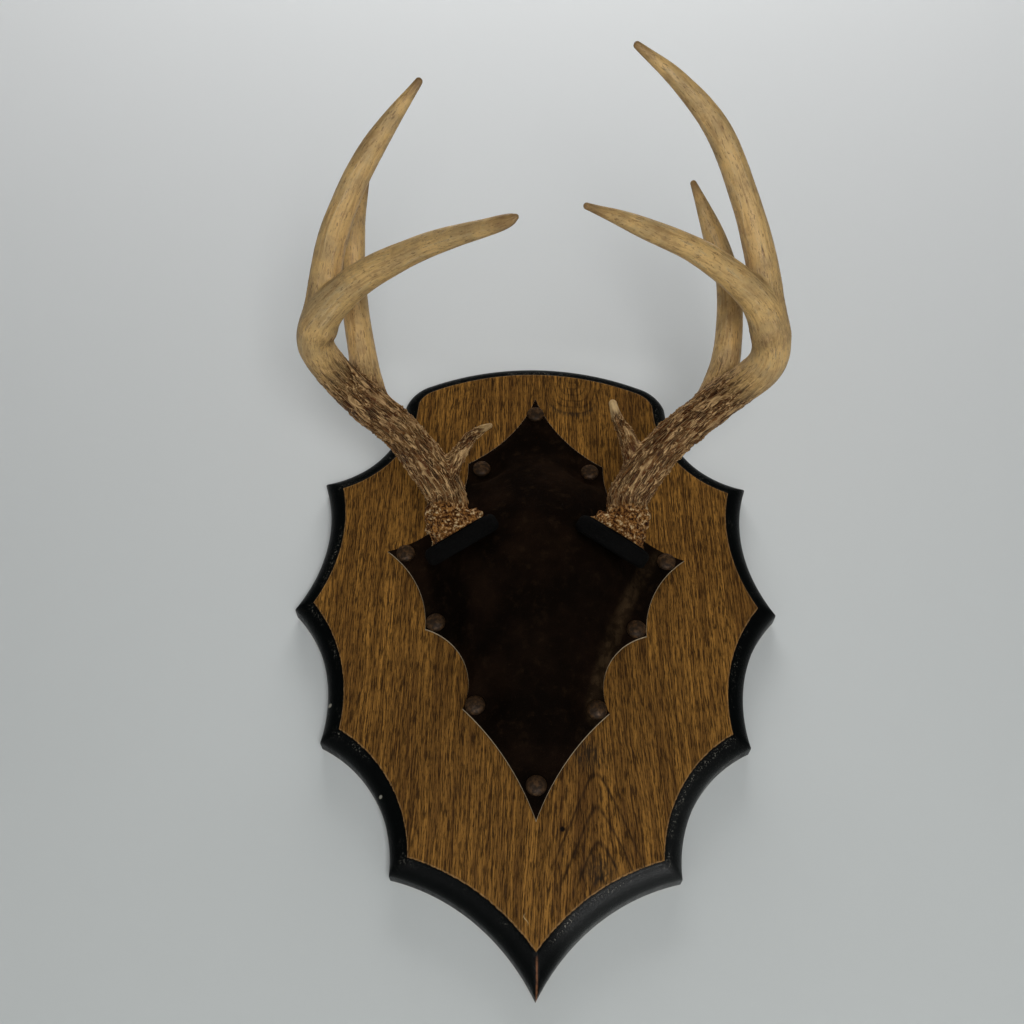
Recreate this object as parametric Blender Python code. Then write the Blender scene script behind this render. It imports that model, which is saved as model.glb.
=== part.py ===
"""Antler wall hanging.

Two whitetail antlers stand on a scalloped oak plaque. A leather cover hides the skull cap
between them and ten hammered tacks hold it down. A black collar wraps each pedicle where the
antler leaves the leather. The plaque's flat back lies on the wall at Y = 0, the antlers reach
out along -Y, +Z points up the wall, and the origin is on the plaque's upright axis.
"""

import math

import bmesh
import bpy
import numpy as np

# What touches keeps this much air, and a tack's hole this much round its tack
GAP = 0.0003
HOLE_CLEARANCE = 0.0002

# Plaque
PLAQUE_THICKNESS = 0.019
PLAQUE_WIDTH = 0.318
PLAQUE_HEIGHT = 0.447
CROWN_ABOVE_ORIGIN = 0.137
MOULDING_WIDTH = 0.0105
MOULDING_DROP = 0.0095
QUIRK_DEPTH = 0.0008
# Right half of the outline from the crown down. Each stretch ends at a corner, given as a share
# of the half width and of the height, and is scooped in by a share of its own length; a
# negative share bulges out.
PLAQUE_STRETCHES = (
    (0.500, 0.040, -0.055),
    (0.612, 0.085, -0.115),
    (0.618, 0.115, 0.000),
    (0.941, 0.248, 0.165),
    (1.000, 0.474, 0.113),
    (0.831, 0.680, 0.123),
    (0.528, 0.857, 0.149),
    (0.000, 1.000, 0.110),
)

# Leather cover, lying on the plaque's face; its skew is how much lower than the axis each
# point lies for its distance to the right, as the hand-cut edges do
LEATHER_THICKNESS = 0.002
LEATHER_WIDTH = 0.200
LEATHER_HEIGHT = 0.318
LEATHER_TOP_MARGIN = 0.0255
LEATHER_SKEW = 0.022
LEATHER_STRETCHES = (
    (0.480, 0.195, 0.089),
    (1.000, 0.434, 0.170),
    (0.713, 0.616, 0.120),
    (0.452, 0.786, 0.225),
    (0.000, 1.000, 0.061),
)

# Mound of the skull cap under the leather, measured from its widest level
MOUND_LEVEL_BELOW_TIP = 0.146
MOUND_HALF_WIDTH = 0.076
MOUND_UP = 0.100
MOUND_DOWN = 0.145
MOUND_HEIGHT = 0.040
# How blunt the mound's lower outline, its flat top and the foot of its slope are
MOUND_TAPER = 0.65
MOUND_FLATNESS = 2.6
MOUND_FOOT = 1.1
PEDICLE_SWELL = 0.012
PEDICLE_SWELL_SPREAD = 0.015
# Share of the way in from the edge that stays flat on the plaque, where the tacks hold it
FLAT_MARGIN = 0.21

# Tacks: the distance of each one from its corner of the leather, from the top down
TACK_DIAMETER = 0.0125
TACK_HEIGHT = 0.0038
TACK_RIM = 0.0008
TACK_SHANK_DIAMETER = 0.0022
TACK_SHANK_LENGTH = 0.011
TACK_INSETS = (0.016, 0.011, 0.0125, 0.008, 0.008, 0.021)

# Collars round the pedicles
COLLAR_SPACING = 0.096
COLLAR_BELOW_TIP = 0.150
COLLAR_ABOVE_FACE = 0.0405
COLLAR_HALF_WIDTH = 0.026
COLLAR_OVAL = 0.78
COLLAR_HEIGHT = 0.0115
COLLAR_ROUNDING = 0.003
PEDICLE_RISE = math.radians(34)
PEDICLE_SPLAY = math.radians(31)

# Antlers
ANTLER_REACH = 0.233
BEAM_RADIUS = 0.0125
BURR_FLARE = 0.0065
BURR_HEIGHT = 0.011
BURR_OVAL = 0.88
BURR_KNOBS = 5
BURR_KNOB_DEPTH = 0.07
ROOT_SWELL = 1.15
# Gutters along a beam and a tine: how many run round each, how far they wind on the way to the
# tip in radians, and how deep they are as a share of the radius
BEAM_GUTTERS = 4
BEAM_FINE_GUTTERS = 7
BEAM_FINE_SHARE = 0.6
GUTTER_WIND = 5
GUTTER_DEPTH = 0.07
# Each row is a point on the branch: outward, up and out of the wall from the burr's centre in
# hundredths of the reach, then the branch's radius as a share of the beam's.
ANTLERS = {
    "left": {
        "beam": (
            (4.0, 9.8, 5.8, 1.13),
            (14.6, 20.3, 16.2, 0.98),
            (29.3, 27.0, 29.0, 0.90),
            (36.0, 30.3, 43.3, 0.85),
            (25.0, 31.0, 60.5, 0.76),
            (6.8, 25.6, 77.7, 0.54),
            (-11.3, 13.2, 95.7, 0.31),
            (-15.4, 10.6, 100.0, 0.10),
        ),
        "brow_tine": (
            (4.5, 11.0, 6.5, 0.66),
            (1.2, 15.5, 10.8, 0.48),
            (-2.5, 19.0, 15.6, 0.34),
            (-5.7, 19.7, 19.3, 0.25),
            (-9.4, 18.9, 23.0, 0.10),
        ),
        "second_tine": (
            (23.0, 25.0, 21.5, 0.85),
            (25.8, 36.5, 28.8, 0.72),
            (28.3, 50.6, 39.5, 0.63),
            (28.0, 63.0, 51.0, 0.52),
            (24.3, 71.2, 60.5, 0.12),
        ),
        "third_tine": (
            (34.5, 30.5, 46.5, 0.82),
            (31.2, 41.0, 61.0, 0.70),
            (26.6, 48.5, 71.2, 0.62),
            (19.2, 57.0, 81.5, 0.53),
            (7.6, 67.8, 92.7, 0.16),
        ),
    },
    "right": {
        "beam": (
            (3.4, 9.4, 6.0, 1.14),
            (12.4, 18.9, 15.0, 0.98),
            (24.6, 24.5, 25.8, 0.92),
            (35.8, 26.4, 41.6, 0.90),
            (31.2, 31.2, 56.2, 0.78),
            (16.3, 31.8, 70.4, 0.60),
            (-2.0, 26.5, 84.5, 0.40),
            (-14.8, 20.6, 94.8, 0.12),
        ),
        "brow_tine": (
            (5.8, 12.5, 7.5, 0.66),
            (4.4, 17.2, 10.5, 0.54),
            (1.7, 21.0, 16.5, 0.41),
            (-0.9, 23.4, 20.9, 0.31),
            (-2.1, 25.3, 24.0, 0.20),
        ),
        "second_tine": (
            (24.0, 25.5, 23.5, 0.86),
            (28.2, 37.3, 30.5, 0.72),
            (28.6, 52.0, 41.0, 0.61),
            (24.3, 62.2, 49.8, 0.54),
            (17.6, 73.0, 60.1, 0.14),
        ),
        "third_tine": (
            (35.0, 28.5, 49.0, 0.84),
            (31.6, 38.5, 62.0, 0.72),
            (26.6, 49.5, 73.0, 0.64),
            (19.2, 60.1, 84.5, 0.58),
            (9.2, 67.0, 93.0, 0.42),
            (-1.8, 71.8, 99.6, 0.14),
        ),
    },
}

# How finely the curves are cut
PLAQUE_STEPS = 6
MOULDING_STEPS = 3
LEATHER_STEPS = 5
LEATHER_RINGS = 7
TACK_SIDES = 12
COLLAR_SIDES = 18
BEAM_SIDES = 16
TINE_SIDES = 10
STEPS_PER_POINT = 4

FACE_Y = -PLAQUE_THICKNESS
LEATHER_BACK_Y = FACE_Y - GAP
LEATHER_FACE_Y = LEATHER_BACK_Y - LEATHER_THICKNESS
LEATHER_TIP_Z = CROWN_ABOVE_ORIGIN - MOULDING_WIDTH - LEATHER_TOP_MARGIN
SHANK_RADIUS = TACK_SHANK_DIAMETER / 2


def material(name, colour, roughness, metallic=0.0):
    """A Principled material with one plain colour."""
    made = bpy.data.materials.new(name)
    made.use_nodes = True
    shader = made.node_tree.nodes["Principled BSDF"]
    shader.inputs["Base Color"].default_value = (*colour, 1.0)
    shader.inputs["Roughness"].default_value = roughness
    shader.inputs["Metallic"].default_value = metallic
    return made


def solid(name, bm, finish, smooth_angle=40):
    """Turn a bmesh into a named object with its faces pointing out."""
    bmesh.ops.recalc_face_normals(bm, faces=bm.faces)
    mesh = bpy.data.meshes.new(name)
    bm.to_mesh(mesh)
    bm.free()
    mesh.shade_smooth()
    mesh.set_sharp_from_angle(angle=math.radians(smooth_angle))
    piece = bpy.data.objects.new(name, mesh)
    bpy.context.collection.objects.link(piece)
    if finish:
        mesh.materials.append(finish)
    return piece


def helper(name, bm):
    """A closed shape that only cuts or joins another piece."""
    piece = solid(name, bm, None)
    piece.hide_render = True
    piece.display_type = "WIRE"
    return piece


def combine(piece, other, operation):
    """Cut a helper out of a piece, or join it on."""
    step = piece.modifiers.new(other.name, "BOOLEAN")
    step.operation = operation
    step.solver = "EXACT"
    step.object = other


def skin(bm, rings, close_ends=True):
    """Join equal closed rings of points with quads, and cap both ends."""
    rows = [[bm.verts.new(point) for point in ring] for ring in rings]
    count = len(rows[0])
    for below, above in zip(rows, rows[1:]):
        for i in range(count):
            j = (i + 1) % count
            bm.faces.new((below[i], below[j], above[j], above[i]))
    if close_ends:
        bm.faces.new(rows[0])
        bm.faces.new(rows[-1])
    return rows


def scooped_stretch(start, end, share, steps):
    """Points after the start on an arc that dents a downward stretch toward the axis."""
    start, end = np.array(start), np.array(end)
    chord = end - start
    inward = np.array((chord[1], -chord[0]))
    if share == 0:
        return [end]
    half_angle = 2 * math.atan(2 * abs(share))
    radius = 1 / (2 * math.sin(half_angle))
    points = []
    for i in range(1, steps + 1):
        angle = half_angle * (2 * i / steps - 1)
        along = 1 / 2 + radius * math.sin(angle)
        dent = radius * (math.cos(angle) - math.cos(half_angle))
        points.append(start + chord * along + inward * dent * math.copysign(1, share))
    return points


def shield(width, height, top, stretches, steps):
    """A closed outline, mirrored about the axis, and the places of its corners in it."""
    half = [np.array((0.0, top))]
    corners = [0]
    for across, down, share in stretches:
        end = (across * width / 2, top - down * height)
        half += scooped_stretch(half[-1], end, share, steps)
        corners.append(len(half) - 1)
    mirrored = [point * (-1, 1) for point in half[-2:0:-1]]
    return np.array(half + mirrored), corners


def inward_miters(outline):
    """For each corner, the step that moves both of its edges in by one unit."""
    before = outline - np.roll(outline, 1, axis=0)
    after = np.roll(outline, -1, axis=0) - outline
    normals = []
    for edge in (before, after):
        length = np.linalg.norm(edge, axis=1, keepdims=True)
        normals.append(np.stack((edge[:, 1], -edge[:, 0]), axis=1) / length)
    spread = 1 + np.sum(normals[0] * normals[1], axis=1, keepdims=True)
    return (normals[0] + normals[1]) / spread


def upright_ring(points, y):
    """Lift (across, up) points to the plane at y."""
    return [(x, y, z) for x, z in points]


def add_plaque(finish):
    """A board whose edge is a square side below a convex moulding and a small quirk."""
    outline, _ = shield(
        PLAQUE_WIDTH, PLAQUE_HEIGHT, CROWN_ABOVE_ORIGIN, PLAQUE_STRETCHES, PLAQUE_STEPS
    )
    miters = inward_miters(outline)
    rings = [upright_ring(outline, 0.0)]
    for i in range(MOULDING_STEPS + 1):
        angle = math.pi / 2 * i / MOULDING_STEPS
        inset = MOULDING_WIDTH * (1 - math.cos(angle))
        drop = QUIRK_DEPTH + (MOULDING_DROP - QUIRK_DEPTH) * (1 - math.sin(angle))
        rings.append(upright_ring(outline + miters * inset, FACE_Y + drop))
    rings.append(upright_ring(outline + miters * MOULDING_WIDTH, FACE_Y))
    bm = bmesh.new()
    skin(bm, rings)
    return solid("plaque", bm, finish)


def mound_height(x, z):
    """How far the leather stands above its own margin over the skull cap."""
    level = LEATHER_TIP_Z - MOUND_LEVEL_BELOW_TIP
    if z < level:
        fall = min((level - z) / MOUND_DOWN, 1)
        half_width = MOUND_HALF_WIDTH * (1 - fall) ** MOUND_TAPER
    else:
        fall = min((z - level) / MOUND_UP, 1)
        half_width = MOUND_HALF_WIDTH * math.sqrt(1 - fall ** 2)
    crest = MOUND_HEIGHT * (1 - fall ** 2)
    share = min(abs(x) / max(half_width, GAP), 1)
    height = crest * (1 - share ** MOUND_FLATNESS) ** MOUND_FOOT
    pedicle_z = LEATHER_TIP_Z - COLLAR_BELOW_TIP - COLLAR_HALF_WIDTH * math.sin(PEDICLE_RISE)
    away = math.hypot(abs(x) - COLLAR_SPACING / 2, z - pedicle_z) / PEDICLE_SWELL_SPREAD
    swell = PEDICLE_SWELL * math.exp(-away ** 2 / 2) * (1 - share ** 4)
    return height + swell


def add_leather(finish):
    """Flat at the back and along its scalloped edge, swelling over the skull cap."""
    outline, corners = shield(
        LEATHER_WIDTH, LEATHER_HEIGHT, LEATHER_TIP_Z, LEATHER_STRETCHES, LEATHER_STEPS
    )
    outline[:, 1] -= LEATHER_SKEW * outline[:, 0]
    middle = np.array((0.0, LEATHER_TIP_Z - MOUND_LEVEL_BELOW_TIP))
    rings = [upright_ring(outline, LEATHER_BACK_Y), upright_ring(outline, LEATHER_FACE_Y)]
    for i in range(LEATHER_RINGS):
        share = (1 - FLAT_MARGIN) * (1 - i / LEATHER_RINGS)
        ring = middle + (outline - middle) * share
        heights = [mound_height(x, z) if i else 0.0 for x, z in ring]
        rings.append([(x, LEATHER_FACE_Y - height, z) for (x, z), height in zip(ring, heights)])
    bm = bmesh.new()
    rows = skin(bm, rings, close_ends=False)
    bm.faces.new(rows[0])
    peak_y = LEATHER_FACE_Y - mound_height(*middle)
    peak = bm.verts.new((middle[0], peak_y, middle[1]))
    inner = rows[-1]
    for i, vert in enumerate(inner):
        bm.faces.new((vert, inner[(i + 1) % len(inner)], peak))
    return solid("leather_cover", bm, finish), tack_places(outline, corners)


def tack_places(outline, corners):
    """Each corner moved in along its bisector, from the top down on both sides of the axis."""
    miters = inward_miters(outline)
    places = []
    for corner, inset in zip(corners, TACK_INSETS):
        for index in sorted({corner, -corner % len(outline)}, reverse=True):
            bisector = miters[index] / np.linalg.norm(miters[index])
            places.append(outline[index] + bisector * inset)
    return places


def turned(bm, profile, sides):
    """Turn a profile of (radius, height) about Z; it starts and ends on the axis."""
    rings = []
    for radius, height in profile[1:-1]:
        angles = [2 * math.pi * i / sides for i in range(sides)]
        rings.append([(radius * math.cos(a), radius * math.sin(a), height) for a in angles])
    rows = skin(bm, rings, close_ends=False)
    for row, height in ((rows[0], profile[0][1]), (rows[-1], profile[-1][1])):
        pole = bm.verts.new((0.0, 0.0, height))
        for i, vert in enumerate(row):
            bm.faces.new((vert, row[(i + 1) % sides], pole))


def shank_profile(radius, length):
    """Pointed end and straight side of a round shank that reaches down from Z = 0."""
    return [(0, -length), (radius / 2, radius - length), (radius, 2 * radius - length)]


def head_profile():
    """Flat underside, thin rim and dome of a tack's head."""
    head = TACK_DIAMETER / 2
    profile = [(SHANK_RADIUS, 0), (head, 0), (head, TACK_RIM)]
    for angle in (math.radians(30), math.radians(62)):
        rise = TACK_RIM + (TACK_HEIGHT - TACK_RIM) * math.sin(angle)
        profile.append((head * math.cos(angle), rise))
    return profile + [(0, TACK_HEIGHT)]


def add_tack(name, place, finish, cut_pieces):
    """A domed tack through the leather into the board, and its hole in both."""
    tack, hole = bmesh.new(), bmesh.new()
    turned(tack, shank_profile(SHANK_RADIUS, TACK_SHANK_LENGTH) + head_profile(), TACK_SIDES)
    hole_radius = SHANK_RADIUS + HOLE_CLEARANCE
    hole_profile = shank_profile(hole_radius, TACK_SHANK_LENGTH + HOLE_CLEARANCE)
    hole_profile += [(hole_radius, TACK_HEIGHT), (0, TACK_HEIGHT)]
    turned(hole, hole_profile, TACK_SIDES)
    pieces = solid(name, tack, finish, smooth_angle=30), helper(name + "_hole", hole)
    for piece in pieces:
        piece.rotation_euler = (math.pi / 2, 0.0, 0.0)
        piece.location = (place[0], LEATHER_FACE_Y - GAP, place[1])
    for cut in cut_pieces:
        combine(cut, pieces[1], "DIFFERENCE")


def pedicle_frame(side):
    """Axis of a pedicle, the direction across it and the direction out over its front."""
    across_wall = math.cos(PEDICLE_SPLAY)
    axis = np.array((
        side * math.sin(PEDICLE_SPLAY),
        -across_wall * math.sin(PEDICLE_RISE),
        across_wall * math.cos(PEDICLE_RISE),
    ))
    front = np.array((0.0, -math.cos(PEDICLE_RISE), -math.sin(PEDICLE_RISE)))
    return axis, np.cross(front, axis), front


def collar_centre(side):
    """Middle of a collar on its pedicle."""
    return np.array((
        side * COLLAR_SPACING / 2,
        FACE_Y - COLLAR_ABOVE_FACE,
        LEATHER_TIP_Z - COLLAR_BELOW_TIP,
    ))


def oval_stack(side, levels):
    """Rings of (distance along the pedicle, half width) round the collar's centre."""
    axis, across, front = pedicle_frame(side)
    rings = []
    for along, half_width in levels:
        ring = []
        for i in range(COLLAR_SIDES):
            angle = 2 * math.pi * i / COLLAR_SIDES
            outward = across * math.cos(angle) + front * COLLAR_OVAL * math.sin(angle)
            ring.append(collar_centre(side) + axis * along + outward * half_width)
        rings.append(ring)
    return rings


def add_collar(name, side, finish, leather):
    """An oval pad with a rounded rim, bedded in a notch of the leather."""
    half = COLLAR_HEIGHT / 2
    wide, narrow = COLLAR_HALF_WIDTH, COLLAR_HALF_WIDTH - COLLAR_ROUNDING
    edge = half - COLLAR_ROUNDING
    bevel = COLLAR_ROUNDING * math.cos(math.pi / 4)
    levels = [(-half, narrow), (-edge - bevel, narrow + bevel), (-edge, wide)]
    levels += [(-along, half_width) for along, half_width in reversed(levels)]
    bm = bmesh.new()
    skin(bm, oval_stack(side, levels))
    solid(name, bm, finish)
    notch = bmesh.new()
    top = half + BURR_HEIGHT
    skin(notch, oval_stack(side, [(-half - GAP, wide + GAP), (top, wide + GAP)]))
    combine(leather, helper(name + "_notch", notch), "DIFFERENCE")


def smooth_path(points, steps):
    """Points of a Catmull-Rom curve through rows of numbers."""
    rows = np.array(points, dtype=float)
    rows = np.vstack((2 * rows[0] - rows[1], rows, 2 * rows[-1] - rows[-2]))
    path = []
    for a, b, c, d in zip(rows, rows[1:], rows[2:], rows[3:]):
        for i in range(steps):
            t = i / steps
            bend = (2 * a - 5 * b + 4 * c - d) * t ** 2 + (3 * b - a - 3 * c + d) * t ** 3
            path.append(b + ((c - a) * t + bend) / 2)
    path.append(rows[-2])
    return np.array(path)


def branch_rings(rows, first_side, sides, shape, start=None):
    """Rings round a path of (x, y, z, radius), carried along it without twist.

    The first ring lies square to the start direction, where there is one.
    """
    path, radii = rows[:, :3], rows[:, 3]
    tangents = np.gradient(path, axis=0)
    tangents /= np.linalg.norm(tangents, axis=1, keepdims=True)
    if start is not None:
        tangents[0] = start
    walked = np.concatenate(((0,), np.cumsum(np.linalg.norm(np.diff(path, axis=0), axis=1))))
    across = np.array(first_side, dtype=float)
    rings = []
    for centre, radius, tangent, distance in zip(path, radii, tangents, walked):
        across -= tangent * across.dot(tangent)
        across /= np.linalg.norm(across)
        other = np.cross(tangent, across)
        ring = []
        for i in range(sides):
            angle = 2 * math.pi * i / sides
            out, over = shape(angle, radius, distance / walked[-1], distance)
            ring.append(centre + across * out + other * over)
        rings.append(ring)
    return rings


def beam_shape(angle, radius, share, distance):
    """Beam's outline: a knobbed, flared burr, then gutters that fade toward the tip."""
    near_burr = math.sqrt(max(1 - distance / BURR_HEIGHT, 0))
    knobs = 1 + BURR_KNOB_DEPTH * near_burr * math.cos(BURR_KNOBS * angle)
    wound = GUTTER_WIND * share
    fine = BEAM_FINE_SHARE * math.sin(BEAM_FINE_GUTTERS * angle - wound)
    lobes = (math.sin(BEAM_GUTTERS * angle + wound) + fine) / (1 + BEAM_FINE_SHARE)
    gutters = 1 + GUTTER_DEPTH * (1 - share) * (1 - near_burr) * lobes
    reach = (radius * gutters + BURR_FLARE * near_burr) * knobs
    oval = 1 - (1 - BURR_OVAL) * near_burr
    return reach * math.cos(angle), reach * oval * math.sin(angle)


def tine_shape(angle, radius, share, distance):
    """Tine's outline: nearly round, with faint gutters at its root."""
    gutters = math.sin(BEAM_GUTTERS * angle + GUTTER_WIND * share)
    reach = radius * (1 + GUTTER_DEPTH / 2 * (1 - share) * gutters)
    return reach * math.cos(angle), reach * math.sin(angle)


def branch_points(base, side, rows):
    """Place a branch's rows in the model: (x, y, z, radius) in metres."""
    step = ANTLER_REACH / 100
    points = []
    for outward, up, out, radius in rows:
        place = base + np.array((side * outward, -out, up)) * step
        points.append((*place, radius * BEAM_RADIUS))
    return points


def add_antler(name, side, branches, finish):
    """A beam that grows from the burr, with three tines joined on."""
    axis, across, _ = pedicle_frame(side)
    base = collar_centre(side) + axis * (COLLAR_HEIGHT / 2 + GAP)
    root_radius = ROOT_SWELL * BEAM_RADIUS
    root = [(*base, root_radius), (*(base + axis * BURR_HEIGHT), root_radius)]
    beam = smooth_path(root + branch_points(base, side, branches["beam"]), STEPS_PER_POINT)
    bm = bmesh.new()
    skin(bm, branch_rings(beam, across, BEAM_SIDES, beam_shape, start=axis))
    antler = solid(name, bm, finish)
    for tine in ("brow_tine", "second_tine", "third_tine"):
        path = smooth_path(branch_points(base, side, branches[tine]), STEPS_PER_POINT)
        bm = bmesh.new()
        skin(bm, branch_rings(path, across, TINE_SIDES, tine_shape))
        combine(antler, helper(name + "_" + tine, bm), "UNION")
    return antler


def main():
    """Build the whole hanging in an empty scene."""
    for old in list(bpy.data.objects):
        bpy.data.objects.remove(old, do_unlink=True)
    oak = material("oak", (0.19, 0.09, 0.022), 0.5)
    leather = material("leather", (0.012, 0.008, 0.006), 0.7)
    copper = material("hammered_copper", (0.06, 0.035, 0.02), 0.45, metallic=0.8)
    wrap = material("black_wrap", (0.004, 0.004, 0.004), 0.9)
    antler = material("antler", (0.36, 0.24, 0.11), 0.6)
    plaque = add_plaque(oak)
    cover, places = add_leather(leather)
    for i, place in enumerate(places, start=1):
        add_tack(f"tack_{i:02d}", place, copper, (cover, plaque))
    for name, side in (("left", -1), ("right", 1)):
        add_collar(name + "_pedicle_collar", side, wrap, cover)
        add_antler(name + "_antler", side, ANTLERS[name], antler)


main()
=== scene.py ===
"""Antler wall hanging: the looks of every piece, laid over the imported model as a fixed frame.

The plaque's flat back lies on the wall at Y = 0, the front is -Y and +Z points up the wall.
"""

import math

import bmesh
import bpy
import numpy as np
from mathutils import Matrix, Vector


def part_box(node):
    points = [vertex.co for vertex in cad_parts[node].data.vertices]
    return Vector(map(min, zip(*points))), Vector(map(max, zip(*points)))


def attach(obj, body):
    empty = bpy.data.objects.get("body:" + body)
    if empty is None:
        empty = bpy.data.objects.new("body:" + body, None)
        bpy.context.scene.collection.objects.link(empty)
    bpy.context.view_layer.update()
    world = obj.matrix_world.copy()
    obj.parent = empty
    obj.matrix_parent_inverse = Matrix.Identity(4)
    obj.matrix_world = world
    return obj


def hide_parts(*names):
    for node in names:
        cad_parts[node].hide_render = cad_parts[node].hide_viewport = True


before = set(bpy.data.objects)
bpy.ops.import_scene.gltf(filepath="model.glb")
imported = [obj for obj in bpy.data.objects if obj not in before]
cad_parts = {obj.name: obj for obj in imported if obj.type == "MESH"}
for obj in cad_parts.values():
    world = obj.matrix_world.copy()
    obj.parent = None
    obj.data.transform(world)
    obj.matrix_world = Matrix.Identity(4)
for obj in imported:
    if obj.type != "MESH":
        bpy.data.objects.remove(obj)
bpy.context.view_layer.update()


# Plaque: one oak board with a scalloped outline. Its edge is moulded to a quarter round below
# a small quirk and brushed with black paint, and the face is stained and waxed. It hangs by
# its flat back, which is bare.
BOARD_WIDTH = 0.318
BOARD_HEIGHT = 0.447
BOARD_THICKNESS = 0.019
BOARD_TOP = 0.137
ROUND_WIDTH = 0.0105
ROUND_DROP = 0.0095
QUIRK = 0.0008
ARRIS = 0.0004
BOARD_CURVES = (
    (0.500, 0.040, -0.055),
    (0.612, 0.085, -0.115),
    (0.618, 0.115, 0.000),
    (0.941, 0.248, 0.165),
    (1.000, 0.474, 0.113),
    (0.831, 0.680, 0.123),
    (0.528, 0.857, 0.149),
    (0.000, 1.000, 0.110),
)
BOARD_FACE_Y = -BOARD_THICKNESS
ARC_STEPS = 24


def shield_corners(width, height, top, curves):
    """Corners clockwise from the crown, mirrored about the axis, and each stretch's scoop."""
    right = [(0.0, top)]
    right += [(across * width / 2, top - down * height) for across, down, _ in curves]
    right = np.array(right)
    scoops = np.array([scoop or 1e-6 for *_, scoop in curves])
    mirrored = right[-2:0:-1] * (-1, 1)
    return np.concatenate((right, mirrored)), np.concatenate((scoops, scoops[::-1]))


def quarter_turn(vectors):
    """The direction to the right of each vector: (x, z) becomes (z, -x)."""
    return np.stack((vectors[..., 1], -vectors[..., 0]), axis=-1)


def scalloped_line(corners, scoops, steps):
    """A circular arc from each corner to the next.

    With t from -T to T, a point lies 1/2 + R sin t along the chord and R (cos t - cos T)
    inward of it, where tan(T / 2) is twice the scoop and R = 1 / (2 sin T), all in chords.
    """
    chord = (np.roll(corners, -1, axis=0) - corners)[:, None]
    sweep = 2 * np.arctan(2 * scoops)[:, None, None]
    reach = 1 / (2 * np.sin(sweep))
    turn = sweep * np.linspace(-1, 1, steps + 1)[None, :-1, None]
    along = 0.5 + reach * np.sin(turn)
    dent = reach * (np.cos(turn) - np.cos(sweep))
    line = corners[:, None] + chord * along + quarter_turn(chord) * dent
    return line.reshape(-1, 2)


def moved_in(corners, scoops, depth):
    """The same line moved in: corners slide along their mitres and arcs keep their centres."""
    chord = np.roll(corners, -1, axis=0) - corners
    length = np.linalg.norm(chord, axis=1, keepdims=True)
    ahead = chord / length
    sweep = 2 * np.arctan(2 * scoops)[:, None]
    leaving = ahead * np.cos(sweep) + quarter_turn(ahead) * np.sin(sweep)
    arriving = np.roll(ahead * np.cos(sweep) - quarter_turn(ahead) * np.sin(sweep), 1, axis=0)
    normals = quarter_turn(arriving), quarter_turn(leaving)
    spread = 1 + np.sum(normals[0] * normals[1], axis=1, keepdims=True)
    moved = corners + depth * (normals[0] + normals[1]) / spread
    new_length = np.linalg.norm(np.roll(moved, -1, axis=0) - moved, axis=1, keepdims=True)
    reach = length / (2 * np.sin(sweep)) + depth
    new_sweep = np.arcsin(new_length / (2 * reach))
    return moved, (np.tan(new_sweep / 2) / 2)[:, 0]


def skin(name, rings, finish, facts=()):
    """A closed mesh over rings[i, j], where i runs from pole to pole and j runs round.

    The first and last rings each close to their mean point. Facts are (name, values) pairs
    with one value, or one vector, per ring point.
    """
    count, around = rings.shape[:2]
    poles = rings[[0, -1]].mean(axis=1)
    points = np.concatenate((rings.reshape(-1, 3), poles))
    index = np.arange(count * around).reshape(count, around)
    after = np.roll(index, -1, axis=1)
    quads = np.stack((index[:-1], after[:-1], after[1:], index[1:]), axis=-1).reshape(-1, 4)
    first, last = count * around, count * around + 1
    caps = np.concatenate((
        np.stack((after[0], index[0], np.full(around, first)), axis=-1),
        np.stack((index[-1], after[-1], np.full(around, last)), axis=-1),
    ))
    a, b, c, d = (points[quads[:, k]] for k in range(4))
    if np.einsum("ij,ij->", a + b + c + d, np.cross(c - a, d - b)) < 0:
        quads, caps = quads[:, ::-1], caps[:, ::-1]
    mesh = bpy.data.meshes.new(name)
    mesh.from_pydata(points.tolist(), [], quads.tolist() + caps.tolist())
    for fact, values in facts:
        values = values.reshape(count, around, -1)
        values = np.concatenate((values.reshape(count * around, -1), values[[0, -1]].mean(axis=1)))
        record_fact(mesh, fact, values)
    return show(name, mesh, finish)


def record_fact(mesh, fact, values):
    """Keep one number or one vector per vertex on the mesh, for its material to read."""
    kind, field = ("FLOAT", "value") if values.shape[1] == 1 else ("FLOAT_VECTOR", "vector")
    layer = mesh.attributes.new(fact, kind, "POINT")
    layer.data.foreach_set(field, values.astype(np.float32).ravel())


def show(name, mesh, finish):
    """Put a mesh in the scene as a smooth piece with its finish."""
    mesh.shade_smooth()
    mesh.materials.append(finish)
    piece = bpy.data.objects.new(name, mesh)
    bpy.context.scene.collection.objects.link(piece)
    return piece


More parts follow.
